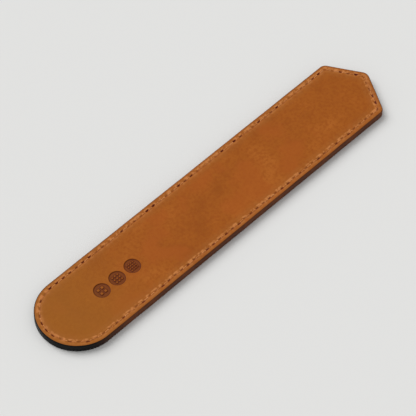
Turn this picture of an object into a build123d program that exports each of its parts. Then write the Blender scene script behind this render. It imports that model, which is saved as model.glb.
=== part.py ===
"""Leather strop: two plies of leather on a stiffening board, glued, sewn all round and edge-painted.

Row frame, in millimetres: +Z up out of the stropping face, +X from the rounded end to the point.
The origin is on the bench, under the middle of the strop's bounding box.
"""
import os

from build123d import *

# Outline
width = 48.0
body_length = 221.0  # centre of the rounded end to the shoulders of the point
point_length = 14.0  # shoulders to the tip, before the corners are rounded
point_offset = 1.5  # the point is cut by hand, a little to one side
shoulder_radius = 4.5
tip_radius = 5.0

# Plies, from the bench up
back_thickness = 2.0
glue_thickness = 0.1
core_thickness = 0.8
face_thickness = 2.0
bevel_radius = 0.6  # rounded by an edge beveller, top and bottom
core_setback = 0.4  # the board stops short, so that leather meets the edge paint
paint_thickness = 0.15

# Seam
stitch_pitch = 5.0
stitch_inset = 3.0  # edge of the strop to the middle of the seam
thread_diameter = 0.7
thread_clearance = 0.05  # thread to the side of its slit
strand_gap = 0.2  # between the two strands in one hole
bend_radius = 0.5  # thread's centre line, where it turns down into a hole
groove_clearance = 0.35  # thread to each side of its groove
face_thread_rise = 0.15  # the seam stands a little proud of the stropping face
back_thread_sink = 0.05  # and lies below the back, so that the strop rests flat

# Stamps: three round waffle stamps in a row, coarse to fine
stamp_diameter = 9.6
stamp_depth = 0.4
stamp_spacing = 11.7
stamp_start = 18.5  # centre of the rounded end to the first stamp
stamp_pips = (2, 3, 4)  # pips in a row of each stamp
pip_field = 0.6  # side of the square of pips, as a share of the stamp's diameter
pip_share = 0.55  # width of a pip, as a share of the pips' pitch

half_width = width / 2
back_glue_z = back_thickness
core_z = back_glue_z + glue_thickness
face_glue_z = core_z + core_thickness
face_z = face_glue_z + glue_thickness
total_thickness = face_z + face_thickness
lock_z = core_z + core_thickness / 2  # the two threads lock in the middle of the board
thread_radius = thread_diameter / 2
strand_offset = (thread_diameter + strand_gap) / 2  # middle of a hole to each of its strands
groove_width = thread_diameter + 2 * groove_clearance
face_groove_depth = thread_diameter - face_thread_rise
back_groove_depth = thread_diameter + back_thread_sink
slit_width = thread_diameter + 2 * thread_clearance
slit_reach = strand_offset + bend_radius + thread_clearance
tip_x = body_length + point_length


def rounded_outline():
    """The strop seen from above, with the centre of its rounded end at X 0."""
    arc_start, arc_end = (0, half_width), (0, -half_width)
    shoulders = (body_length, -half_width), (body_length, half_width)
    tip = (tip_x, point_offset)
    sides = Polyline(arc_end, shoulders[0], tip, shoulders[1], arc_start)
    face = make_face([*sides.edges(), *ThreePointArc(arc_start, (-half_width, 0), arc_end).edges()])
    corners = face.vertices().sort_by(Axis.X)[-3:]
    face = fillet([v for v in corners if v.X < tip_x], shoulder_radius)
    return fillet(face.vertices().sort_by(Axis.X)[-1], tip_radius)


def centred(face):
    """The face moved so that the middle of its box is on the Z axis."""
    middle = face.bounding_box().center()
    return Pos(-middle.X, -middle.Y) * face, middle.X


outline, shift = centred(rounded_outline())
ply_outline = offset(outline, amount=-paint_thickness)


def ply(z, thickness, face=ply_outline):
    """A flat layer, cut to the outline and lying at height z."""
    return Pos(0, 0, z) * extrude(face, thickness)


def ring(face, outer_inset, inner_inset, z, height):
    """A band that follows the outline between two insets."""
    outer = offset(face, amount=-outer_inset) if outer_inset else face
    return Pos(0, 0, z) * extrude(outer - offset(face, amount=-inner_inset), height)


def hole_points():
    """The holes of the seam: one on each corner of the point, and the rest spaced evenly between."""
    path = offset(outline, amount=-stitch_inset).face().outer_wire()
    bends = [e for e in path.edges().filter_by(GeomType.CIRCLE) if e.radius < half_width / 2]
    turns = sorted(path.param_at_point(bend.position_at(0.5)) for bend in bends)
    points = []
    for start, end in zip(turns, [*turns[1:], turns[0] + 1]):
        count = round((end - start) * path.length / stitch_pitch)
        steps = [(start + (end - start) * k / count) % 1 for k in range(count)]
        points += [path.position_at(u) for u in steps]
    return points


holes = hole_points()
stitches = list(zip(holes, holes[1:] + holes[:1]))


def slit(before, hole, after):
    """One awl hole: a slit that runs along the seam and turns with it."""
    reach_back = hole - (hole - before).normalized() * slit_reach
    reach_on = hole + (after - hole).normalized() * slit_reach
    legs = []
    for end in (reach_back, reach_on):
        along = end - hole
        middle, turn = hole + along / 2, Vector(1, 0).get_signed_angle(along, Vector(0, 0, 1))
        legs.append(Pos(middle.X, middle.Y) * Rot(0, 0, turn) * Rectangle(along.length, slit_width))
    return extrude(legs[0] + legs[1] + Pos(hole.X, hole.Y) * Circle(slit_width / 2), total_thickness)


slits = [slit(holes[k - 1], holes[k], holes[(k + 1) % len(holes)]) for k in range(len(holes))]


def stitch(start, end, bar_z):
    """One stitch: a bar between two holes, with a strand down each to the lock."""
    along = (end - start).normalized() * strand_offset
    first, last = start + along, end - along
    corners = [(first.X, first.Y, lock_z), (first.X, first.Y, bar_z)]
    corners += [(last.X, last.Y, bar_z), (last.X, last.Y, lock_z)]
    route = FilletPolyline(*corners, radius=bend_radius)
    section = Plane(origin=route @ 0, z_dir=route % 0) * Circle(thread_radius)
    return sweep(section, path=route)


def stamps():
    """The three stamps as tools: each cuts a round recess and leaves its pips standing."""
    tools = []
    for k, count in enumerate(stamp_pips):
        pitch = stamp_diameter * pip_field / count
        pip = Rectangle(pitch * pip_share, pitch * pip_share)
        recess = Circle(stamp_diameter / 2) - GridLocations(pitch, pitch, count, count) * pip
        place = Pos(stamp_start + k * stamp_spacing - shift, 0, total_thickness - stamp_depth)
        tools += (place * extrude(recess, stamp_depth)).solids()
    return tools


def bevelled(layer, axis_end):
    """A ply with its outer corner rounded, on top (-1) or underneath (0)."""
    return fillet(layer.faces().sort_by(Axis.Z)[axis_end].outer_wire().edges(), bevel_radius)


def groove(z, depth):
    """The channel that the seam lies in."""
    half = groove_width / 2
    return ring(outline, stitch_inset - half, stitch_inset + half, z, depth)


def face_leather():
    """The stropping ply, grain side up."""
    leather = bevelled(ply(face_z, face_thickness), -1)
    channel = groove(total_thickness - face_groove_depth, face_groove_depth)
    return leather - [channel, *slits, *stamps()]


def back_leather():
    """The back ply, flesh side down."""
    leather = bevelled(ply(0, back_thickness), 0)
    return leather - [groove(0, back_groove_depth), *slits]


def glue_film(z):
    """One coat of contact cement."""
    return ply(z, glue_thickness) - slits


def core_board():
    """The stiffening board, a little smaller than the leather."""
    board = offset(outline, amount=-paint_thickness - core_setback)
    return ply(core_z, core_thickness, board) - slits


def edge_paint():
    """The coat of paint round the rim, from bevel to bevel."""
    return ring(outline, 0, paint_thickness, bevel_radius, total_thickness - 2 * bevel_radius)


def thread(bar_z):
    """All the stitches of one side of the seam, each a solid of its own."""
    return Compound([stitch(start, end, bar_z).solid() for start, end in stitches])


parts = {
    "face_leather": face_leather(),
    "face_glue_film": glue_film(face_glue_z),
    "core_board": core_board(),
    "back_glue_film": glue_film(back_glue_z),
    "back_leather": back_leather(),
    "edge_paint": edge_paint(),
    "face_thread": thread(total_thickness - face_groove_depth + thread_radius),
    "back_thread": thread(back_groove_depth - thread_radius),
}

os.makedirs("parts", exist_ok=True)
for name, shape in parts.items():
    export_step(shape, f"parts/{name}.step")

box = outline.bounding_box().size
print(f"{box.X:.2f} x {box.Y:.2f} x {total_thickness:.2f} mm, {len(stitches)} stitches a side")
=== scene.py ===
# %% [markdown]
# # A hand strop in cognac leather
# A strop is a flat strap that a carver draws a blade along to finish its edge. This one is two
# plies of leather with a thin board between them. It is glued, sewn all round with a sunken seam
# and painted along its rim. The design fixes every size. This lesson gives it its surface.
#
# Two things carry the whole model: the outline, which is drawn once as a walk, and the distance
# from that outline, which decides the height and the colour of every spot of the leather.

# %% Load the design
from math import atan2, cos, hypot, pi, radians, sin, tan

import bmesh
import bpy
import numpy as np
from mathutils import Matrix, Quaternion, Vector
from mathutils.geometry import delaunay_2d_cdt


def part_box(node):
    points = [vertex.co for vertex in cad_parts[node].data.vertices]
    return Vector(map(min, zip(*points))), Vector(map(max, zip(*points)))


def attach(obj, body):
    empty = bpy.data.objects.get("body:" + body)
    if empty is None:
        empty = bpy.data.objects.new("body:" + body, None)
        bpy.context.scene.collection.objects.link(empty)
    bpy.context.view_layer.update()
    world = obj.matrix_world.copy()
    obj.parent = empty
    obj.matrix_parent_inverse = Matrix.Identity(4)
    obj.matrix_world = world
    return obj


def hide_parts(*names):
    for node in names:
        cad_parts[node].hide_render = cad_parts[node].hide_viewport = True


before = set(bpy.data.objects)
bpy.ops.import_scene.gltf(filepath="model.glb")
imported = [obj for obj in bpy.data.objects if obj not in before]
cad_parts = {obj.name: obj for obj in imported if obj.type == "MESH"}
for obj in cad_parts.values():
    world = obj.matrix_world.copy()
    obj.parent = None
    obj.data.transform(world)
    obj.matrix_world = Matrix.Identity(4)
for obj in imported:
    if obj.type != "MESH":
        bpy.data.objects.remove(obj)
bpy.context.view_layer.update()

print("design nodes:", ", ".join(sorted(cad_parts)))

# %% [markdown]
# ## Sizes
# Most sizes are read from the design, so that the leather can't drift away from it. The few that
# say how the outline turns and how it is sewn are repeated here. Lengths are in millimetres up to
# the moment a mesh is made, because a strop is measured in millimetres at the bench.

# %% Sizes of the strop
MM = 0.001
face_low, face_high = [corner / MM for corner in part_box("face_leather")]
back_low, back_high = [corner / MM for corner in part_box("back_leather")]
paint_low, paint_high = [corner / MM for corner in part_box("edge_paint")]
thread_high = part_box("face_thread")[1] / MM
back_thread_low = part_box("back_thread")[0] / MM

half_width = paint_high.y
paint_thickness = paint_high.y - face_high.y
bevel_radius = face_high.z - paint_high.z
arc_centre_x = paint_low.x + half_width
body_length = 221.0
point_length = 14.0
point_offset = 1.5
shoulder_radius = 4.5
tip_radius = 5.0

thread_diameter = 0.7
stitch_pitch = 5.0
stitch_inset = paint_high.y - thread_high.y + thread_diameter / 2
print(f"plies {face_low.z:.1f} to {face_high.z:.1f} and {back_low.z:.1f} to {back_high.z:.1f} mm")
print(f"seam {stitch_inset:.2f} mm in from the rim, bevel {bevel_radius:.2f} mm")

# %% [markdown]
# ## The outline as a walk
# The leather was cut with a knife round a template: straight sides, a half round at one end, and a
# blunt point with rounded corners at the other. A Bezier curve could be drawn by hand, but then
# nothing would say how far a spot is from the edge. So the outline is a walk, like a turtle's: a
# list of straights and left turns. Each row of its table holds a place, a heading, and the length
# walked along the seam and along the middle of the rim.

# %% Walk the outline
def corner_turns():
    """The lengths of the straights, and the radius and turn of each corner of the point."""
    shoulder_x = arc_centre_x + body_length
    places = [(arc_centre_x, -half_width), (shoulder_x, -half_width),
              (shoulder_x + point_length, point_offset), (shoulder_x, half_width),
              (arc_centre_x, half_width)]
    headings = [atan2(b[1] - a[1], b[0] - a[0]) for a, b in zip(places, places[1:])]
    sides = [hypot(b[0] - a[0], b[1] - a[1]) for a, b in zip(places, places[1:])]
    turns = [b - a for a, b in zip(headings, headings[1:])]
    radii = [shoulder_radius, tip_radius, shoulder_radius]
    cuts = [0, *[r * tan(t / 2) for r, t in zip(radii, turns)], 0]
    straights = [s - a - b for s, a, b in zip(sides, cuts, cuts[1:])]
    return straights, radii, turns


def walk_outline(step=0.05):
    """Rows of x, y, heading, seam length and rim length, and the seam length at each corner."""
    straights, radii, turns = corner_turns()
    legs = [(straights[0], 0, 0)]
    for radius, turn, straight in zip(radii, turns, straights[1:]):
        legs += [(0, radius, turn), (straight, 0, 0)]
    legs.append((0, half_width, pi))
    x, y, heading, seam, rim = arc_centre_x, -half_width, 0.0, 0.0, 0.0
    rows, corners = [], []
    for straight, radius, turn in legs:
        share = np.linspace(0, 1, int((straight or radius * turn) / step) + 2)
        angle = heading + turn * share
        xs = x + straight * share * cos(heading) + radius * (np.sin(angle) - sin(heading))
        ys = y + straight * share * sin(heading) - radius * (np.cos(angle) - cos(heading))
        seam_leg = straight + turn * max(radius - stitch_inset, 0)
        rim_leg = straight + turn * max(radius - stitch_inset / 2, 0)
        rows.append(np.c_[xs, ys, angle, seam + seam_leg * share, rim + rim_leg * share][:-1])
        if 0 < radius < half_width:
            corners.append(seam + seam_leg / 2)
        x, y, heading, seam, rim = xs[-1], ys[-1], angle[-1], seam + seam_leg, rim + rim_leg
    rows.append([[x, y, heading, seam, rim]])
    return np.vstack(rows), corners


outline, corner_seams = walk_outline()
seam_length, rim_length = outline[-1, 3:]
print(f"walked {outline[:, 0].max() - outline[:, 0].min():.2f} x {2 * half_width:.2f} mm, "
      f"seam {seam_length:.1f} mm")

# %% [markdown]
# ## Holes and stations
# The awl holes are pricked with one on each corner of the point and the rest spaced evenly, as a
# saddler steps off a seam with dividers. The meshes get their stations from the holes: the same
# few stations between each hole and the next, so that every hole has a vertex in its middle. No
# hand pulls every stitch equally tight, so each hole also gets a pull of its own.

# %% Space the holes and the stations
stations_apart = 0.42
cut_ripple = 0.02
loosest_pull, tightest_pull, pull_seed = 0.35, 1.25, 11
even_pull = (loosest_pull + tightest_pull) / 2


def space_holes():
    """Seam lengths of the holes."""
    holes = []
    for start, end in zip(corner_seams, [*corner_seams[1:], corner_seams[0] + seam_length]):
        count = round((end - start) / stitch_pitch)
        holes += [start + (end - start) * k / count for k in range(count)]
    return np.sort(np.array(holes) % seam_length)


holes = space_holes()
hole_rims = np.interp(holes, outline[:, 3], outline[:, 4])
gaps = np.diff(np.append(hole_rims, hole_rims[0] + rim_length))
station_rims = np.concatenate([rim + gap * np.arange(n) / n for rim, gap, n in
                               zip(hole_rims, gaps, np.ceil(gaps / stations_apart).astype(int))])
station_rims = np.sort(station_rims % rim_length)
station_x, station_y, station_heading, station_seam = [
    np.interp(station_rims, outline[:, 4], outline[:, k]) for k in range(4)]
hole_pull = np.random.default_rng(pull_seed).uniform(loosest_pull, tightest_pull, len(holes))
off_holes = np.abs(station_seam[:, None] - holes[None, :])
off_holes = np.minimum(off_holes, seam_length - off_holes)
to_hole, pull = off_holes.min(1), hole_pull[off_holes.argmin(1)]
inward = np.c_[-np.sin(station_heading), np.cos(station_heading)]
lap = 2 * pi * station_rims / rim_length
ripple = cut_ripple * (np.sin(9 * lap + 1) + np.sin(17 * lap + 4) + 0.7 * np.sin(31 * lap))


def ring(inset):
    """The stations, moved in from the outline. The knife's slight wander goes with them."""
    return np.c_[station_x, station_y] + inward * (inset + ripple)[:, None]


print(f"{len(holes)} holes a side, {len(station_rims)} stations round the rim")

# %% [markdown]
# ## Relief of the leather
# Leather that is sewn doesn't stay flat: the thread pulls it into a shallow valley, each hole is
# a dimple, and the skin swells a little on both sides. This could be painted with a bump map, but
# it would vanish from the side. So the relief is a formula of three numbers: the distance from the
# edge, the distance to the nearest hole, and that hole's pull.

# %% Height formulas
valley_depth, valley_width = 0.24, 0.95
dimple_depth, dimple_length, dimple_width = 0.36, 0.85, 0.36
pucker_depth, pucker_length, pucker_width = 0.12, 1.15, 1.1
swell_height, swell_place, swell_width = 0.08, 1.8, 1.2
undulation_height = 0.03


def bell(value, width):
    """1 in the middle, fading to 0 over about two widths."""
    return np.exp(-(value / width) ** 2)


def fade(value):
    """0 below 0, 1 above 1, and smooth between."""
    t = np.clip(value, 0, 1)
    return t * t * (3 - 2 * t)


def seam_drop(distance, hole_distance, hole_pull):
    """How far the surface lies below the flat of the ply."""
    across = distance - stitch_inset
    valley = valley_depth * bell(across, valley_width)
    dimple = dimple_depth * bell(across, dimple_width) * bell(hole_distance, dimple_length)
    pucker = pucker_depth * bell(across, pucker_width) * bell(hole_distance, pucker_length)
    swell = swell_height * bell(across - swell_place, swell_width)
    return valley + (dimple + pucker) * hole_pull - swell


def undulation(x, y):
    """The slow rise and fall of a hide that was never quite flat."""
    waves = np.sin(x / 19 + 0.4) * np.cos(y / 13) + np.sin(x / 31 + y / 11 + 2)
    return undulation_height * waves


print(f"seam bottom {seam_drop(stitch_inset, 9.0, 1.0):.2f} mm down, "
      f"holes {seam_drop(stitch_inset, 0.0, 1.0):.2f} mm down")

# %% [markdown]
# ## The three stamps
# Near the rounded end the maker has struck three small round stamps with a waffle face, from
# coarse to fine: two by two, three by three and four by four pips. A hot stamp presses the
# leather down, leaves the pips standing and pushes up a soft lip round itself. It scorches most
# where its edges bite. As with the seam, a distance gives height and colour: the distance to the
# stamp's circle, and to the nearest pip.

# %% Stamp relief
stamp_radius, stamp_depth, stamp_wall = 4.8, 0.4, 0.3
stamp_pips = (2, 3, 4)
stamp_start, stamp_spacing = 18.5, 11.7
pip_field, pip_share, pip_corner = 0.6, 0.55, 0.22
lip_height, lip_width = 0.05, 0.5
pip_scorch, floor_scorch, edge_scorch, scorch_width = 0.15, 0.45, 0.4, 0.42
stamp_x = [arc_centre_x + stamp_start + k * stamp_spacing for k in range(len(stamp_pips))]


def pip_distance(x, y, count):
    """Distance outside the nearest of a stamp's pips. It is below 0 on the pip."""
    pitch = 2 * stamp_radius * pip_field / count
    half = pitch * pip_share / 2
    limit = (count - 1) / 2
    near_x = np.clip(np.round(x / pitch - limit) + limit, -limit, limit) * pitch
    near_y = np.clip(np.round(y / pitch - limit) + limit, -limit, limit) * pitch
    out_x, out_y = np.abs(x - near_x) - half + pip_corner, np.abs(y - near_y) - half + pip_corner
    return np.hypot(np.maximum(out_x, 0), np.maximum(out_y, 0)) - pip_corner


def stamp_marks(x, y):
    """How far the stamps push the surface down, and how scorched it is, from 0 to 1."""
    drop, scorch = np.zeros_like(x), np.zeros_like(x)
    for centre, count in zip(stamp_x, stamp_pips):
        past_rim = np.hypot(x - centre, y) - stamp_radius
        to_pip = pip_distance(x - centre, y, count)
        inside = fade(0.5 - past_rim / stamp_wall)
        off_pip = fade(0.5 + to_pip / stamp_wall)
        edges = bell(np.minimum(np.abs(past_rim), np.abs(to_pip)), scorch_width)
        drop += stamp_depth * inside * off_pip - lip_height * bell(past_rim - lip_width / 2, lip_width)
        scorch += inside * (pip_scorch + off_pip * (floor_scorch + edge_scorch * edges))
    return drop, scorch


print("stamps at", [round(x, 1) for x in stamp_x], "mm along the strop")

# %% [markdown]
# ## Rings and a filled middle
# A ply is a closed skin of two kinds of mesh. Round the rim the stations give neat rings: up the
# cut edge, over the bevel and across the seam, closest where the groove is. Inside the seam there
# is no natural direction, so the middle is filled with points, close together only where the
# stamps need them. A plain grid would need ten times as many faces, or blur the stamps.

# %% Fill the middle
bevel_steps = 6
rim_rings = [0.95, 1.25, 1.6]
off_seam_rings = [-1.1, -0.85, -0.7, -0.55, -0.4, -0.25, -0.1, 0.0,
                  0.1, 0.25, 0.4, 0.55, 0.7, 0.85, 1.2]
seam_rings = [*rim_rings, *[stitch_inset + off for off in off_seam_rings]]
by_seam = seam_rings[-1] + 0.6
well_inside = 9.0
off_stamps = 7.6
far_away, anywhere = 99.0, 999.0
# Each zone: spacing, nearest and furthest from the edge, nearest and furthest from a stamp
zones = [(2.6, well_inside, anywhere, off_stamps, anywhere),
         (0.9, by_seam, well_inside, off_stamps, anywhere),
         (0.45, by_seam, anywhere, 5.7, 7.4),
         (0.14, by_seam, anywhere, 0.0, 5.6)]


def distance_inside(points):
    """Distance of each point from the outline, below 0 outside it."""
    rim = np.c_[station_x, station_y]
    found = []
    for some in np.array_split(points, len(points) // 2000 + 1):
        offset = some[:, None] - rim[None]
        nearest = (offset ** 2).sum(2).argmin(1)
        found.append((offset[np.arange(len(some)), nearest] * inward[nearest]).sum(1))
    return np.concatenate(found)


def lattice(spacing):
    """Points of a triangular lattice over the strop's box."""
    xs = np.arange(paint_low.x, paint_high.x, spacing)
    ys = np.arange(paint_low.y, paint_high.y, spacing * sin(pi / 3))
    x, y = np.meshgrid(xs, ys)
    x = x + spacing / 2 * (np.arange(len(ys)) % 2)[:, None]
    return np.c_[x.ravel(), y.ravel()]


def middle_points(with_stamps):
    """Points inside the seam: dense on the stamps, closer near the seam, and wide elsewhere."""
    chosen = []
    for spacing, nearest, furthest, off_stamp, by_stamp in zones:
        points = lattice(spacing)
        to_stamp = np.min([np.hypot(points[:, 0] - x, points[:, 1]) for x in stamp_x], axis=0)
        to_stamp += 0.0 if with_stamps else far_away
        points = points[(to_stamp > off_stamp) & (to_stamp < by_stamp)]
        distance = distance_inside(points)
        chosen.append(points[(distance > nearest) & (distance <= furthest)])
    return np.vstack(chosen)


print(f"{len(seam_rings)} rings by the seam, {len(zones)} zones of points inside it")

# %% [markdown]
# ## A leather ply as one closed skin
# The rings and the middle are joined into one skin: quads between the rings, Delaunay triangles
# over the middle, and one flat side towards the board. Every vertex keeps its distances, for the
# colours that follow.

# %% Build a ply
def ply_spots(outer_z, inner_z, up, with_stamps):
    """Rows of x, y, z, distance from the edge, distance to a hole and that hole's pull.

    The rings come first, from the board's side outwards and in to the seam. The count of rings
    is given too."""
    bevel = np.linspace(0, pi / 2, bevel_steps)
    insets = [paint_thickness, *(paint_thickness + bevel_radius * (1 - np.cos(bevel))), *seam_rings]
    heights = [inner_z, *(outer_z - up * bevel_radius * (1 - np.sin(bevel))),
               *[outer_z] * len(seam_rings)]
    even = np.ones(len(station_rims))
    rows = [np.c_[ring(inset), height * even, inset * even, to_hole, pull]
            for inset, height in zip(insets, heights)]
    middle = middle_points(with_stamps)
    even = np.ones(len(middle))
    rows.append(np.c_[middle, outer_z * even, distance_inside(middle), far_away * even, 0 * even])
    return np.vstack(rows), len(insets)


def ply_faces(points, rings):
    """Quads between the rings, triangles over the middle, and one flat inner side."""
    count = len(station_rims)
    faces = []
    for k in range(rings - 1):
        a, b = k * count, (k + 1) * count
        faces += [(a + i, a + (i + 1) % count, b + (i + 1) % count, b + i) for i in range(count)]
    first = (rings - 1) * count
    loose = [Vector(p) for p in points[first:]]
    border = [(i, (i + 1) % count) for i in range(count)]
    _, _, triangles, origins, _, _ = delaunay_2d_cdt(loose, border, [], 1, 1e-6)
    faces += [tuple(first + origins[i][0] for i in triangle) for triangle in triangles]
    faces.append(tuple(range(count - 1, -1, -1)))
    return faces


def ply_skin(name, outer_z, inner_z, material, proud, with_stamps):
    """One ply: its outer side at outer_z has the bevel, the seam and perhaps the stamps.

    No part of it stands more than proud above outer_z."""
    up = 1 if outer_z > inner_z else -1
    spots, rings = ply_spots(outer_z, inner_z, up, with_stamps)
    x, y, z, distance, hole, tension = spots.T
    marks, scorch = stamp_marks(x, y) if with_stamps else (np.zeros_like(x), np.zeros_like(x))
    drop = seam_drop(distance, hole, tension) + marks + undulation(x, y)
    drop = np.maximum(drop, -proud) * fade((distance - paint_thickness) / bevel_radius)
    return finish_skin(name, np.c_[x, y, z - up * drop], ply_faces(spots[:, :2], rings), material,
                       edge_distance=distance, hole_distance=hole, hole_pull=tension, scorch=scorch)


def finish_skin(name, points, faces, material, **attributes):
    """A smooth closed mesh with its normals outwards and some named numbers on its vertices."""
    mesh = bpy.data.meshes.new(name)
    mesh.from_pydata((points * MM).tolist(), [], faces)
    for key, values in attributes.items():
        mesh.attributes.new(key, "FLOAT", "POINT").data.foreach_set("value", values.astype(np.float32))
    shape = bmesh.new()
    shape.from_mesh(mesh)
    bmesh.ops.recalc_face_normals(shape, faces=shape.faces)
    shape.to_mesh(mesh)
    shape.free()
    mesh.shade_smooth()
    mesh.materials.append(material)
    piece = bpy.data.objects.new(name, mesh)
    bpy.context.scene.collection.objects.link(piece)
    print(f"{name}: {len(mesh.vertices)} vertices, {len(mesh.polygons)} faces")
    return piece


print("rings in a ply:", 1 + bevel_steps + len(seam_rings))

# %% [markdown]
# ## Help with nodes
# A material is a small network of nodes. Writing one out takes many lines, so one helper makes a
# node, sets it and fills its inputs in a single call. An input is a number, a colour or another
# node's output. Colours are given as a screen shows them and turned into light here.

# %% Node helpers
def linear(red, green, blue):
    """A screen colour, 0 to 255, as the light that it stands for."""
    shares = [c / 255 for c in (red, green, blue)]
    return (*[s / 12.92 if s < 0.04045 else ((s + 0.055) / 1.055) ** 2.4 for s in shares], 1.0)


def add(tree, kind, inputs=None, **settings):
    """A node with its settings, and its inputs filled by name or by number."""
    made = tree.nodes.new(kind)
    for name, value in settings.items():
        setattr(made, name, value)
    for key, value in (inputs or {}).items():
        if isinstance(value, bpy.types.NodeSocket):
            tree.links.new(value, made.inputs[key])
        else:
            made.inputs[key].default_value = value
    return made


def sums(tree, operation, *values):
    """The result of a sum on numbers."""
    return add(tree, "ShaderNodeMath", dict(enumerate(values)), operation=operation).outputs[0]


def blended(tree, share, under, over):
    """The first colour, with a share of the second laid over it."""
    return add(tree, "ShaderNodeMix", {0: share, 6: under, 7: over}, data_type="RGBA").outputs[2]


def between(tree, value, low, high, to_low=0.0, to_high=1.0):
    """A value from low to high, turned smoothly into one from to_low to to_high."""
    inputs = {"Value": value, "From Min": low, "From Max": high, "To Min": to_low, "To Max": to_high}
    return add(tree, "ShaderNodeMapRange", inputs, interpolation_type="SMOOTHSTEP").outputs[0]


def number(tree, name):
    """One of the numbers that a mesh holds on its vertices."""
    return add(tree, "ShaderNodeAttribute", attribute_name=name).outputs["Fac"]


def new_group(name, inputs, outputs):
    """An empty shader group with its sockets, and its two ends."""
    group = bpy.data.node_groups.new(name, "ShaderNodeTree")
    kinds = {"value": "NodeSocketFloat", "colour": "NodeSocketColor", "place": "NodeSocketVector"}
    for socket, kind, *default in inputs:
        made = group.interface.new_socket(name=socket, in_out="INPUT", socket_type=kinds[kind])
        if default:
            made.default_value = default[0]
    for socket, kind in outputs:
        group.interface.new_socket(name=socket, in_out="OUTPUT", socket_type=kinds[kind])
    return group, add(group, "NodeGroupInput").outputs, add(group, "NodeGroupOutput").inputs


def placed(tree, group, **inputs):
    """A group in a material. Its inputs are named with _ for a space."""
    node = add(tree, "ShaderNodeGroup", node_tree=group)
    for name, value in inputs.items():
        socket = node.inputs[name.replace("_", " ")]
        if isinstance(value, bpy.types.NodeSocket):
            tree.links.new(value, socket)
        else:
            socket.default_value = value
    return node.outputs


def new_material(name):
    """A material, with its tree, its one Principled shader and its Object coordinates."""
    material = bpy.data.materials.new(name)
    material.use_nodes = True
    tree = material.node_tree
    place = add(tree, "ShaderNodeTexCoord").outputs["Object"]
    return material, tree, tree.nodes["Principled BSDF"], place


def raised(tree, shader, height, depth):
    """Lets a height from 0 to 1 raise the surface by that many metres."""
    bump = add(tree, "ShaderNodeBump", {"Strength": 1.0, "Distance": depth, "Height": height})
    tree.links.new(bump.outputs[0], shader.inputs["Normal"])


print("node helpers ready")

# %% [markdown]
# ## Four effects that the materials share
# - **Hide mottle.** Dye never takes evenly: a hide has cloudy patches and small flecks.
# - **Fine grain.** Pores, and the net of creases between them, give leather its close-up look.
# - **Fibre.** Flesh side, fibre board and thread all show short strands that lie one way.
# - **Band.** A mask that is 1 near one value of a number, such as a distance from the edge.
#
# Each is a node group, so that it is built once and each material sets its sizes.

# %% Hide mottle
mottle, given, result = new_group(
    "Hide mottle",
    [("Place", "place"), ("Patch Size", "value", 0.03), ("Fleck Size", "value", 0.004),
     ("Body", "colour"), ("Light", "colour"), ("Dark", "colour"), ("Fleck", "colour")],
    [("Color", "colour"), ("Patches", "value")])
patch_scale = sums(mottle, "DIVIDE", 1.0, given["Patch Size"])
fleck_scale = sums(mottle, "DIVIDE", 1.0, given["Fleck Size"])
patches = add(mottle, "ShaderNodeTexNoise",
              {"Vector": given["Place"], "Scale": patch_scale, "Detail": 4.0, "Roughness": 0.65})
flecks = add(mottle, "ShaderNodeTexNoise",
             {"Vector": given["Place"], "Scale": fleck_scale, "Detail": 4.0, "Roughness": 0.6})
lighter = between(mottle, patches.outputs[0], 0.5, 0.72)
darker = between(mottle, patches.outputs[0], 0.5, 0.3)
fleck = between(mottle, flecks.outputs[0], 0.4, 0.66, 0.0, 0.6)
clouded = blended(mottle, lighter, given["Body"], given["Light"])
clouded = blended(mottle, darker, clouded, given["Dark"])
flecked = blended(mottle, fleck, clouded, given["Fleck"])
mottle.links.new(flecked, result["Color"])
mottle.links.new(patches.outputs[0], result["Patches"])
print("group:", mottle.name)

# %% Fine grain
grain, given, result = new_group(
    "Fine grain",
    [("Place", "place"), ("Pore Size", "value", 0.0005), ("Crease Size", "value", 0.002),
     ("Crease Share", "value", 0.4)],
    [("Height", "value")])
wobble = add(grain, "ShaderNodeTexNoise",
             {"Vector": given["Place"], "Scale": 900.0, "Detail": 2.0}).outputs["Color"]
wobbled = add(grain, "ShaderNodeVectorMath", {0: wobble, 1: (0.0006,) * 3, 2: given["Place"]},
              operation="MULTIPLY_ADD")
pore_scale = sums(grain, "DIVIDE", 1.0, given["Pore Size"])
crease_scale = sums(grain, "DIVIDE", 1.0, given["Crease Size"])
pores = add(grain, "ShaderNodeTexVoronoi", {"Vector": wobbled.outputs[0], "Scale": pore_scale})
creases = add(grain, "ShaderNodeTexVoronoi", {"Vector": wobbled.outputs[0], "Scale": crease_scale},
              feature="DISTANCE_TO_EDGE")
pore_height = between(grain, pores.outputs["Distance"], 0.75, 0.1)
crease_height = between(grain, creases.outputs["Distance"], 0.0, 0.14)
both = add(grain, "ShaderNodeMix", {0: given["Crease Share"], 2: pore_height, 3: crease_height})
grain.links.new(both.outputs[0], result["Height"])
print("group:", grain.name)

# %% Fibre
fibre, given, result = new_group(
    "Fibre",
    [("Place", "place"), ("Strand Length", "value", 0.003), ("Strand Width", "value", 0.0004)],
    [("Height", "value")])
long_share = sums(fibre, "DIVIDE", 1.0, given["Strand Length"])
wide_share = sums(fibre, "DIVIDE", 1.0, given["Strand Width"])
stretch = add(fibre, "ShaderNodeCombineXYZ", {"X": long_share, "Y": wide_share, "Z": wide_share})
drawn_out = add(fibre, "ShaderNodeVectorMath", {0: given["Place"], 1: stretch.outputs[0]},
                operation="MULTIPLY")
strands = add(fibre, "ShaderNodeTexNoise",
              {"Vector": drawn_out.outputs[0], "Scale": 1.0, "Detail": 4.0, "Distortion": 1.2})
fibre.links.new(between(fibre, strands.outputs[0], 0.3, 0.7), result["Height"])
print("group:", fibre.name)

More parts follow.
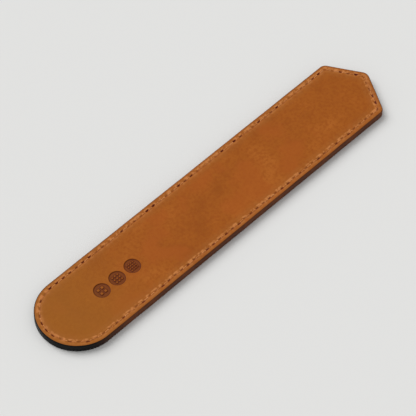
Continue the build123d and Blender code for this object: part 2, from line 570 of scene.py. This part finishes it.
# %% Band
band, given, result = new_group(
    "Band",
    [("Number", "value"), ("Middle", "value"), ("Half Width", "value"), ("Softness", "value", 1.0)],
    [("Mask", "value")])
off_middle = sums(band, "ABSOLUTE", sums(band, "SUBTRACT", given["Number"], given["Middle"]))
past_edge = sums(band, "SUBTRACT", off_middle, given["Half Width"])
fallen = sums(band, "DIVIDE", past_edge, given["Softness"])
band.links.new(between(band, fallen, 1.0, 0.0), result["Mask"])
print("group:", band.name)

# %% [markdown]
# ## Cognac leather
# The stropping face is full-grain leather, dyed and oiled. The dye gives cloudy patches, warmer in
# places, and the rounded end has turned a little olive from being held.

# %% Cognac leather: the dye
light_level, surface_sheen = 0.96, 0.012


def dyed(red, green, blue, sheen=surface_sheen):
    """The dye that shows as this colour in the studio, which adds a little white sheen."""
    return (*[max((c - sheen) / light_level, 0.001) for c in linear(red, green, blue)[:3]], 1.0)


cognac, tree, shader, place = new_material("cognac_leather")
edge, hole, tension = [number(tree, name) for name in ("edge_distance", "hole_distance", "hole_pull")]
hide = placed(tree, mottle, Place=place, Patch_Size=0.026, Fleck_Size=0.0018, Fleck=dyed(147, 76, 25),
              Body=dyed(160, 89, 34), Light=dyed(171, 98, 41), Dark=dyed(148, 80, 28))
warmth = add(tree, "ShaderNodeTexNoise", {"Vector": place, "Scale": 55.0, "Detail": 2.0}).outputs[0]
colour = blended(tree, between(tree, warmth, 0.48, 0.66, 0.0, 0.6), hide["Color"], dyed(165, 87, 36))
along = add(tree, "ShaderNodeSeparateXYZ", {0: place}).outputs["X"]
handled = between(tree, along, -0.045, -0.115, 0.0, 0.6)
colour = blended(tree, handled, colour, dyed(152, 96, 38))
print("dyed:", cognac.name)

# %% [markdown]
# Where leather is bent its oil moves away and the colour lightens on the rim. The soft blotches
# along the seam are painted highlight, strongest on the +Y side of each seam, as if its flanks
# caught the light there. At the awl holes the colour is darkened, as painted shade in the holes'
# dimples, and a tight stitch drags that dark mark a little off the line. The masks come from
# the distances stored on the mesh, so the colour follows the seam exactly. An image could do this
# too, but it would blur up close and would have to be fitted to the outline.

# %% Cognac leather: the seam's marks
drag = 0.9
blotches = add(tree, "ShaderNodeTexNoise", {"Vector": place, "Scale": 420.0, "Detail": 2.0}).outputs[0]
rubbed = placed(tree, band, Number=edge, Middle=0.0, Half_Width=2.6, Softness=6.5)["Mask"]
rubbed = sums(tree, "MULTIPLY", rubbed, between(tree, blotches, 0.35, 0.65, 0.35, 0.85))
colour = blended(tree, rubbed, colour, dyed(160, 98, 47))
off_seam = sums(tree, "ABSOLUTE", sums(tree, "SUBTRACT", edge, stitch_inset))
# Painted highlight: light blotches beside the seam line, strongest on its +Y side, as if lit from
# there.
seam_highlight = placed(tree, band, Number=off_seam, Middle=0.75, Half_Width=0.4, Softness=0.8)["Mask"]
seam_highlight = sums(tree, "MULTIPLY", seam_highlight, between(tree, blotches, 0.42, 0.62, 0.15, 0.9))
across = add(tree, "ShaderNodeSeparateXYZ", {0: place}).outputs["Y"]
light_side = sums(tree, "MULTIPLY", sums(tree, "SUBTRACT", edge, stitch_inset), across)
seam_highlight = sums(tree, "MULTIPLY", seam_highlight, between(tree, light_side, 0.014, -0.014, 0.2, 1.0))
colour = blended(tree, seam_highlight, colour, dyed(204, 132, 76))

# Painted shade: the awl holes' dimples are darkened, more for a tighter stitch, on a line the stitch's
# pull shifts.
dragged = sums(tree, "MULTIPLY_ADD", tension, drag, edge)
seam_line_shade = placed(tree, band, Number=dragged, Middle=stitch_inset + drag * even_pull, Half_Width=0.25,
                Softness=0.4)["Mask"]
by_hole = placed(tree, band, Number=hole, Middle=0.0, Half_Width=0.75, Softness=0.9)["Mask"]
hole_shade = sums(tree, "MULTIPLY", by_hole, between(tree, tension, loosest_pull, tightest_pull, 0.3, 1.0))
colour = blended(tree, sums(tree, "MULTIPLY", seam_line_shade, hole_shade), colour, dyed(96, 38, 16))
print("marked along the seam:", cognac.name)

# %% [markdown]
# The stamps have scorched the leather, which also leaves it a little shinier. The grain comes last.

# %% Cognac leather: scorch and grain
scorch = number(tree, "scorch")
colour = blended(tree, scorch, colour, dyed(84, 38, 20))
tree.links.new(colour, shader.inputs["Base Color"])

matt = between(tree, hide["Patches"], 0.3, 0.7, 0.5, 0.62)
tree.links.new(sums(tree, "MULTIPLY_ADD", scorch, -0.12, matt), shader.inputs["Roughness"])
shader.inputs["Specular IOR Level"].default_value = 0.14
skin = placed(tree, grain, Place=place, Pore_Size=0.00045, Crease_Size=0.0019, Crease_Share=0.35)
raised(tree, shader, skin["Height"], 0.00003)
print("material:", cognac.name)

# %% [markdown]
# ## Flesh side
# The back ply lies with its flesh side out, the loose inner face of the hide. It is paler and
# quite matt, with a nap that catches light at a slant. Hair particles could stand for the nap,
# but it is shorter than the grain is deep, so strands in the bump and a touch of sheen are enough.

# %% Flesh side
flesh, tree, shader, place = new_material("flesh_side")
edge, hole = number(tree, "edge_distance"), number(tree, "hole_distance")
hide = placed(tree, mottle, Place=place, Patch_Size=0.022, Fleck_Size=0.0016,
              Body=dyed(160, 112, 70), Light=dyed(174, 128, 84), Dark=dyed(140, 94, 56),
              Fleck=dyed(138, 92, 54))
nap = placed(tree, fibre, Place=place, Strand_Length=0.0022, Strand_Width=0.0005)["Height"]
colour = blended(tree, sums(tree, "MULTIPLY", nap, 0.35), hide["Color"], dyed(190, 148, 104))
rubbed = placed(tree, band, Number=edge, Middle=0.4, Half_Width=0.5, Softness=0.9)["Mask"]
colour = blended(tree, sums(tree, "MULTIPLY", rubbed, 0.6), colour, dyed(118, 70, 38))
# Painted shade: the stitch groove on the flesh side is darkened, and its awl holes darkest.
seam_line_shade = placed(tree, band, Number=edge, Middle=stitch_inset, Half_Width=0.35, Softness=0.45)["Mask"]
colour = blended(tree, sums(tree, "MULTIPLY", seam_line_shade, 0.55), colour, dyed(104, 62, 36))
by_hole = placed(tree, band, Number=hole, Middle=0.0, Half_Width=0.5, Softness=0.6)["Mask"]
colour = blended(tree, sums(tree, "MULTIPLY", seam_line_shade, by_hole), colour, dyed(60, 32, 18))
tree.links.new(colour, shader.inputs["Base Color"])
tree.links.new(between(tree, nap, 0.0, 1.0, 0.82, 0.95), shader.inputs["Roughness"])
shader.inputs["Specular IOR Level"].default_value = 0.2
shader.inputs["Sheen Weight"].default_value = 0.25
shader.inputs["Sheen Roughness"].default_value = 0.5
raised(tree, shader, nap, 0.00016)
print("material:", flesh.name)

# %% [markdown]
# ## Edge paint
# Edge paint is a thick dark brown coat, rubbed down and waxed to a low shine, with lighter worn
# patches. Towards the rounded end its colour is mixed to nearly black: painted shade, since that
# end lies in shadow. A second thin shell could carry a second colour, but a mix of two colours looks
# the same.

# %% Edge paint
painted, tree, shader, place = new_material("edge_paint_satin")
along = add(tree, "ShaderNodeSeparateXYZ", {0: place}).outputs["X"]
worn = add(tree, "ShaderNodeTexNoise", {"Vector": place, "Scale": 90.0, "Detail": 3.0}).outputs[0]
# Painted shade: nearly black towards the rounded end, which lies in shadow; the paint's own dark brown
# elsewhere.
out_of_end_shade = between(tree, along, -0.118, -0.085)
brown = blended(tree, between(tree, worn, 0.35, 0.7), linear(86, 44, 21), linear(108, 58, 29))
colour = blended(tree, out_of_end_shade, linear(9, 9, 9), brown)
tree.links.new(colour, shader.inputs["Base Color"])
tree.links.new(between(tree, worn, 0.3, 0.7, 0.4, 0.55), shader.inputs["Roughness"])
shader.inputs["Specular IOR Level"].default_value = 0.1
coat = placed(tree, grain, Place=place, Pore_Size=0.0009, Crease_Size=0.004, Crease_Share=0.15)
raised(tree, shader, coat["Height"], 0.00002)
print("material:", painted.name)

# %% [markdown]
# ## Waxed thread
# The thread is linen, twisted from three strands and drawn through wax, a shade lighter than the
# leather. No two stitches catch the light alike, so each one holds a number that shifts its tone.

# %% Waxed thread
linen, tree, shader, place = new_material("waxed_thread")
tone = number(tree, "stitch_tone")
fuzz = add(tree, "ShaderNodeTexNoise", {"Vector": place, "Scale": 6000.0, "Detail": 3.0}).outputs[0]
colour = blended(tree, tone, dyed(190, 114, 58), dyed(222, 152, 94))
colour = blended(tree, between(tree, fuzz, 0.45, 0.75, 0.0, 0.35), colour, dyed(150, 82, 38))
tree.links.new(colour, shader.inputs["Base Color"])
tree.links.new(between(tree, fuzz, 0.3, 0.7, 0.45, 0.6), shader.inputs["Roughness"])
shader.inputs["Specular IOR Level"].default_value = 0.22
raised(tree, shader, fuzz, 0.00004)
print("material:", linen.name)

# %% [markdown]
# ## Board and cement
# The board and the two films of cement can't be seen in a finished strop, but a take-apart view
# shows them. Fibre board is grey-brown, with pressed strands. Contact cement dries to an amber
# skin that keeps the marks of the brush. Both keep the design's own meshes.

# %% Board and cement
board, tree, shader, place = new_material("fibre_board")
pressed = placed(tree, fibre, Place=place, Strand_Length=0.006, Strand_Width=0.0007)["Height"]
hide = placed(tree, mottle, Place=place, Patch_Size=0.012, Fleck_Size=0.0012,
              Body=linear(142, 122, 98), Light=linear(160, 142, 116), Dark=linear(112, 92, 70),
              Fleck=linear(96, 76, 56))
colour = blended(tree, sums(tree, "MULTIPLY", pressed, 0.4), hide["Color"], linear(98, 76, 56))
tree.links.new(colour, shader.inputs["Base Color"])
tree.links.new(between(tree, pressed, 0.0, 1.0, 0.7, 0.85), shader.inputs["Roughness"])
raised(tree, shader, pressed, 0.00006)
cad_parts["core_board"].data.materials.clear()
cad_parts["core_board"].data.materials.append(board)

cement, tree, shader, place = new_material("contact_cement")
brushed = placed(tree, fibre, Place=place, Strand_Length=0.03, Strand_Width=0.0009)["Height"]
colour = blended(tree, brushed, linear(176, 132, 70), linear(208, 168, 104))
tree.links.new(colour, shader.inputs["Base Color"])
tree.links.new(between(tree, brushed, 0.0, 1.0, 0.28, 0.45), shader.inputs["Roughness"])
raised(tree, shader, brushed, 0.00005)
for film in ("face_glue_film", "back_glue_film"):
    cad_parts[film].data.materials.clear()
    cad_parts[film].data.materials.append(cement)
print("materials:", board.name, cement.name)

# %% [markdown]
# ## The two plies
# Now the plies can be made. The face ply has its outer side up, with the stamps. The back ply is
# the same skin turned over, without them. It lies on the bench, so nothing stands proud of it.

# %% Make the plies
face_proud, back_proud = 0.15, 0.0
stropping_face = ply_skin("stropping_face", face_high.z, face_low.z, cognac, face_proud, True)
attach(stropping_face, "root")
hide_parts("face_leather")

flesh_back = ply_skin("flesh_back", back_low.z, back_high.z, flesh, back_proud, False)
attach(flesh_back, "root")
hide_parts("back_leather")

# %% [markdown]
# ## Helpers for Geometry Nodes
# What follows a path is made by Geometry Nodes: the coat of paint and the stitches. A tree has
# named inputs for its sizes, so the same tree sews the face and the back. Its result is turned
# into a plain mesh at the end, because a finished piece should hold no recipe.

# %% Geometry Nodes helpers
def new_recipe(name, inputs):
    """An empty geometry tree with its inputs, and its two ends."""
    kinds = {"mesh": "NodeSocketGeometry", "length": "NodeSocketFloat", "value": "NodeSocketFloat",
             "count": "NodeSocketInt", "finish": "NodeSocketMaterial"}
    tree = bpy.data.node_groups.new(name, "GeometryNodeTree")
    for socket, kind in inputs:
        tree.interface.new_socket(name=socket, in_out="INPUT", socket_type=kinds[kind])
    tree.interface.new_socket(name="Piece", in_out="OUTPUT", socket_type="NodeSocketGeometry")
    return tree, add(tree, "NodeGroupInput").outputs, add(tree, "NodeGroupOutput").inputs


def finish_recipe(tree, shape, material, result):
    """Ends a tree: real geometry, smooth, with its material."""
    real = add(tree, "GeometryNodeRealizeInstances", {0: shape})
    smooth = add(tree, "GeometryNodeSetShadeSmooth", {"Geometry": real.outputs[0]})
    coated = add(tree, "GeometryNodeSetMaterial", {"Geometry": smooth.outputs[0], "Material": material})
    tree.links.new(coated.outputs[0], result["Piece"])


def loop_of(name, points):
    """A closed loop of edges through the points, in millimetres."""
    mesh = bpy.data.meshes.new(name)
    count = len(points)
    mesh.from_pydata((points * MM).tolist(), [(i, (i + 1) % count) for i in range(count)], [])
    return mesh


def cooked(name, loop, tree, **sizes):
    """Runs a tree on a loop and keeps the result as a plain mesh, with nothing left to run."""
    raw = bpy.data.objects.new(name + "_loop", loop)
    bpy.context.scene.collection.objects.link(raw)
    recipe = raw.modifiers.new(tree.name, "NODES")
    recipe.node_group = tree
    sockets = {s.name: s.identifier for s in tree.interface.items_tree if s.in_out == "INPUT"}
    for key, value in sizes.items():
        recipe[sockets[key.replace("_", " ")]] = value
    depsgraph = bpy.context.evaluated_depsgraph_get()
    mesh = bpy.data.meshes.new_from_object(raw.evaluated_get(depsgraph), depsgraph=depsgraph)
    mesh.name = name
    raw.modifiers.remove(recipe)
    bpy.data.objects.remove(raw)
    piece = bpy.data.objects.new(name, mesh)
    bpy.context.scene.collection.objects.link(piece)
    print(f"{name}: {len(mesh.vertices)} vertices, {len(mesh.polygons)} faces")
    return piece


def bow(tree, points, half_width, height, roundness):
    """A curve that rises steeply, runs nearly flat and falls again: half of a rounded rectangle.

    It lies in X and Z, from -half_width to half_width, and rises to height. A roundness of 1 is
    half an ellipse, and the nearer it is to 0, the squarer the bow."""
    line = add(tree, "GeometryNodeCurvePrimitiveLine", {"Start": (0, 0, 0), "End": (1, 0, 0)})
    spaced = add(tree, "GeometryNodeResampleCurve", {"Curve": line.outputs[0], "Count": points})
    share = add(tree, "GeometryNodeSplineParameter").outputs["Factor"]
    angle = sums(tree, "MULTIPLY", sums(tree, "SUBTRACT", 1.0, share), pi)
    across = sums(tree, "COSINE", angle)
    reach = sums(tree, "POWER", sums(tree, "ABSOLUTE", across), roundness)
    rise = sums(tree, "POWER", sums(tree, "ABSOLUTE", sums(tree, "SINE", angle)), roundness)
    side = sums(tree, "MULTIPLY", sums(tree, "SIGN", across), reach)
    spot = add(tree, "ShaderNodeCombineXYZ", {"X": sums(tree, "MULTIPLY", side, half_width),
                                              "Z": sums(tree, "MULTIPLY", rise, height)})
    return add(tree, "GeometryNodeSetPosition",
               {"Geometry": spaced.outputs[0], "Position": spot.outputs[0]}).outputs[0]


print("geometry helpers ready")

# %% [markdown]
# ## The painted edge
# Paint on an edge is a thin rounded skin. It laps a little over both bevels, sinks slightly at the
# joint between the plies, and is nowhere quite even. A swept profile is the natural way to make
# it: the tree bends a bow into the profile and carries it round the outline.

# %% Recipe for the painted edge
painting, given, result = new_recipe(
    "Painted edge", [("Outline", "mesh"), ("Half Height", "length"), ("Lap", "length"),
                     ("Joint Depth", "length"), ("Unevenness", "length"), ("Paint", "finish")])
profile = bow(painting, 19, given["Half Height"], given["Lap"], 0.42)
spot = add(painting, "GeometryNodeInputPosition").outputs[0]
spot = add(painting, "ShaderNodeSeparateXYZ", {0: spot}).outputs
joint = sums(painting, "DIVIDE", spot["X"], given["Half Height"])
joint = between(painting, sums(painting, "ABSOLUTE", joint), 0.16, 0.0)
sunk = sums(painting, "MULTIPLY", joint, given["Joint Depth"])
outward = sums(painting, "SUBTRACT", spot["Z"], given["Lap"])
outward = sums(painting, "SUBTRACT", outward, sunk)
turned = add(painting, "ShaderNodeCombineXYZ", {"X": outward, "Y": spot["X"]})
upright = add(painting, "GeometryNodeSetPosition",
              {"Geometry": profile, "Position": turned.outputs[0]})
closed = add(painting, "GeometryNodeSetSplineCyclic",
             {"Geometry": upright.outputs[0], "Cyclic": True})
path = add(painting, "GeometryNodeMeshToCurve", {"Mesh": given["Outline"]})
level = add(painting, "GeometryNodeSetCurveNormal", {"Curve": path.outputs[0]}, mode="Z_UP")
swept = add(painting, "GeometryNodeCurveToMesh",
            {"Curve": level.outputs[0], "Profile Curve": closed.outputs[0]})
ripples = add(painting, "ShaderNodeTexNoise", {"Scale": 160.0, "Detail": 2.0}).outputs[0]
uneven = sums(painting, "SUBTRACT", ripples, 0.6)
uneven = sums(painting, "MULTIPLY", uneven, given["Unevenness"])
normal = add(painting, "GeometryNodeInputNormal").outputs[0]
push = add(painting, "ShaderNodeVectorMath", {0: normal, "Scale": uneven}, operation="SCALE")
coated = add(painting, "GeometryNodeSetPosition",
             {"Geometry": swept.outputs[0], "Offset": push.outputs[0]})
finish_recipe(painting, coated.outputs[0], given["Paint"], result)
print("recipe:", painting.name)

# %% Paint the edge
mid_height = (face_high.z + back_low.z) / 2
outline_points = np.c_[ring(0.0), np.full(len(station_rims), mid_height)]
painted_edge = cooked("painted_edge", loop_of("outline_loop", outline_points), painting,
                      Half_Height=2.45 * MM, Lap=0.7 * MM, Joint_Depth=0.05 * MM,
                      Unevenness=0.06 * MM, Paint=painted)
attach(painted_edge, "root")
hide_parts("edge_paint")

# %% [markdown]
# ## The seam
# A saddle stitch is a short bow of twisted thread that comes out of one hole and goes down the
# next. The tree first models one such stitch: a bow, given a lobed section and a twist. Two hundred
# stitches modelled by hand would be alike or wrong, and a dashed texture would have no shadow.

# %% Recipe for a stitch
sewing, given, result = new_recipe(
    "Saddle stitches", [("Holes", "mesh"), ("Thread Diameter", "length"), ("Stitch Length", "length"),
                        ("Strand Offset", "length"), ("Depth", "length"), ("Twist", "value"),
                        ("Slant", "value"), ("Seed", "count"), ("Thread", "finish")])
half_bar = sums(sewing, "MULTIPLY", given["Stitch Length"], 0.5)
half_bar = sums(sewing, "SUBTRACT", half_bar, given["Strand Offset"])
bowed = bow(sewing, 15, half_bar, given["Depth"], 0.7)
down = add(sewing, "ShaderNodeCombineXYZ", {
    "Z": sums(sewing, "MULTIPLY", given["Depth"], -1.0)})
lowered = add(sewing, "GeometryNodeSetPosition", {"Geometry": bowed, "Offset": down.outputs[0]})
share = add(sewing, "GeometryNodeSplineParameter").outputs["Factor"]
turns = sums(sewing, "MULTIPLY", share, given["Twist"])
twist = sums(sewing, "MULTIPLY", turns, 2 * pi)
twisted = add(sewing, "GeometryNodeSetCurveTilt", {"Curve": lowered.outputs[0], "Tilt": twist})

strands, section_points, lobe = 3, 12, 0.16
thread_half = sums(sewing, "MULTIPLY", given["Thread Diameter"], 0.5)
section = add(sewing, "GeometryNodeCurvePrimitiveCircle",
              {"Resolution": section_points, "Radius": thread_half})
index = add(sewing, "GeometryNodeInputIndex").outputs[0]
round_section = sums(sewing, "MULTIPLY", index, 2 * pi * strands / section_points)
wave = sums(sewing, "COSINE", round_section)
bulge = sums(sewing, "MULTIPLY_ADD", wave, lobe, 1 - lobe)
spot = add(sewing, "GeometryNodeInputPosition").outputs[0]
bulged = add(sewing, "ShaderNodeVectorMath", {0: spot, "Scale": bulge}, operation="SCALE")
lobed = add(sewing, "GeometryNodeSetPosition",
            {"Geometry": section.outputs[0], "Position": bulged.outputs[0]})
stitch = add(sewing, "GeometryNodeCurveToMesh", {
    "Curve": twisted.outputs[0], "Profile Curve": lobed.outputs[0], "Fill Caps": True})
print("one stitch, twisted from", strands, "strands")

# %% [markdown]
# The tree then sets a copy on every edge of a loop that joins the holes, turns it along the edge
# and stretches it to fit. Each copy slants a little, as slit-shaped holes make it do, and keeps a
# number of its own for its tone.

# %% Recipe for the seam
ends = add(sewing, "GeometryNodeInputMeshEdgeVertices").outputs
run = add(sewing, "ShaderNodeVectorMath", {0: ends["Position 2"], 1: ends["Position 1"]},
          operation="SUBTRACT").outputs[0]
kept = add(sewing, "GeometryNodeCaptureAttribute", domain="EDGE")
kept.capture_items.new("VECTOR", "Run")
sewing.links.new(given["Holes"], kept.inputs["Geometry"])
sewing.links.new(run, kept.inputs["Run"])
spots = add(sewing, "GeometryNodeMeshToPoints", {"Mesh": kept.outputs["Geometry"]}, mode="EDGES")
run = kept.outputs["Run"]
turn = add(sewing, "FunctionNodeAlignRotationToVector", {"Vector": run}, axis="X", pivot_axis="Z")
span = add(sewing, "ShaderNodeVectorMath", {0: run}, operation="LENGTH").outputs["Value"]
fit = add(sewing, "ShaderNodeCombineXYZ", {
    "X": sums(sewing, "DIVIDE", span, given["Stitch Length"]), "Y": 1.0, "Z": 1.0})
sewn = add(sewing, "GeometryNodeInstanceOnPoints", {
    "Points": spots.outputs[0], "Instance": stitch.outputs[0], "Rotation": turn.outputs[0],
    "Scale": fit.outputs[0]})
chance = add(sewing, "FunctionNodeRandomValue", {2: 0.4, 3: 1.6, "Seed": given["Seed"]}).outputs[1]
leant = sums(sewing, "MULTIPLY", chance, given["Slant"])
lean = add(sewing, "ShaderNodeCombineXYZ", {"Z": leant})
leaning = add(sewing, "GeometryNodeRotateInstances", {
    "Instances": sewn.outputs[0], "Rotation": lean.outputs[0]})
next_seed = sums(sewing, "ADD", given["Seed"], 1.0)
tone = add(sewing, "FunctionNodeRandomValue", {2: 0.0, 3: 1.0, "Seed": next_seed}).outputs[1]
toned = add(sewing, "GeometryNodeStoreNamedAttribute", {
    "Geometry": leaning.outputs[0], "Name": "stitch_tone", "Value": tone}, domain="INSTANCE")
finish_recipe(sewing, toned.outputs[0], given["Thread"], result)
print("recipe:", sewing.name)

# %% Sew the face and the back
hole_x, hole_y, hole_heading = [np.interp(hole_rims, outline[:, 4], outline[:, k]) for k in range(3)]
hole_spots = np.c_[hole_x, hole_y] + stitch_inset * np.c_[-np.sin(hole_heading), np.cos(hole_heading)]
stitch_lengths = np.hypot(*(np.roll(hole_spots, -1, axis=0) - hole_spots).T)
thread_radius = thread_diameter / 2
strand_depth, strand_offset = 1.3, 0.8
twists_a_stitch, slant = 3.0, radians(3.0)
mean_length = float(stitch_lengths.mean())


def sew(name, bar_z, depth, node, seed):
    """One side of the seam."""
    spots = np.c_[hole_spots, np.full(len(holes), bar_z)]
    seam = cooked(name, loop_of(name + "_holes", spots), sewing,
                  Thread_Diameter=thread_diameter * MM, Stitch_Length=mean_length * MM,
                  Strand_Offset=strand_offset * MM, Depth=depth * MM, Twist=twists_a_stitch,
                  Slant=slant, Seed=seed, Thread=linen)
    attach(seam, "root")
    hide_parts(node)
    return seam


face_seam = sew("face_seam", thread_high.z - thread_radius, strand_depth, "face_thread", 7)
back_seam = sew("back_seam", back_thread_low.z + thread_radius, -strand_depth, "back_thread", 19)
print(f"stitches {stitch_lengths.min():.2f} to {stitch_lengths.max():.2f} mm long")

# %% [markdown]
# ## Studio
# The strop lies on plain pale card under one broad soft light from the upper left and an even
# sky. A sun lamp with a wide disc gives parallel light with soft shadows, so the card is evenly
# lit right across, which an area lamp close by wouldn't do.

# %% Card and light
card_colour = 0.79
card_size, card_gap = 4.0, 0.00005
bpy.ops.mesh.primitive_plane_add(size=card_size, location=(0, 0, -card_gap))
card = bpy.context.object
card.name = "studio_card"
card_paint, tree, shader, place = new_material("pale_card")
shader.inputs["Base Color"].default_value = (card_colour, card_colour, card_colour * 0.985, 1)
shader.inputs["Roughness"].default_value = 0.9
shader.inputs["Specular IOR Level"].default_value = 0.1
card.data.materials.append(card_paint)

light_height, light_turn = radians(49), radians(8)
lamp = bpy.data.lights.new("broad_window", "SUN")
lamp.energy, lamp.angle = 1.76, radians(46)
window = bpy.data.objects.new("broad_window", lamp)
towards_light = Vector((sin(light_turn) * -cos(light_height), cos(light_turn) * cos(light_height),
                        sin(light_height)))
window.rotation_mode = "QUATERNION"
window.rotation_quaternion = towards_light.to_track_quat("Z", "Y")
bpy.context.scene.collection.objects.link(window)

sky = bpy.data.worlds.new("even_sky")
sky.use_nodes = True
sky.node_tree.nodes["Background"].inputs["Color"].default_value = (1.0, 1.0, 1.0, 1)
sky.node_tree.nodes["Background"].inputs["Strength"].default_value = 0.535
bpy.context.scene.world = sky
bpy.context.scene.view_settings.view_transform = "Standard"
print("light from", [round(v, 2) for v in towards_light])

# %% [markdown]
# ## Camera
# The strop is seen from its right, well above the bench, through a long lens from some way off,
# so its sides stay almost parallel.

# %% Place the camera
camera_bearing, camera_height, camera_tilt = radians(-46.57), radians(53.16), radians(1.24)
camera_distance, focal_length = 1.676, 259.6
aim = Vector((-0.00535, -0.0016, face_high.z * MM))
backward = Vector((sin(camera_bearing) * cos(camera_height), -cos(camera_bearing) * cos(camera_height),
                   sin(camera_height)))
view = bpy.data.cameras.new("studio_camera")
view.lens, view.sensor_width = focal_length, 36.0
view.clip_start, view.clip_end = 0.05, 20.0
camera = bpy.data.objects.new("studio_camera", view)
camera.location = aim + camera_distance * backward
camera.rotation_mode = "QUATERNION"
camera.rotation_quaternion = backward.to_track_quat("Z", "Y") @ Quaternion((0, 0, 1), camera_tilt)
bpy.context.scene.collection.objects.link(camera)
bpy.context.scene.camera = camera
print("camera at", [round(v, 3) for v in camera.location])
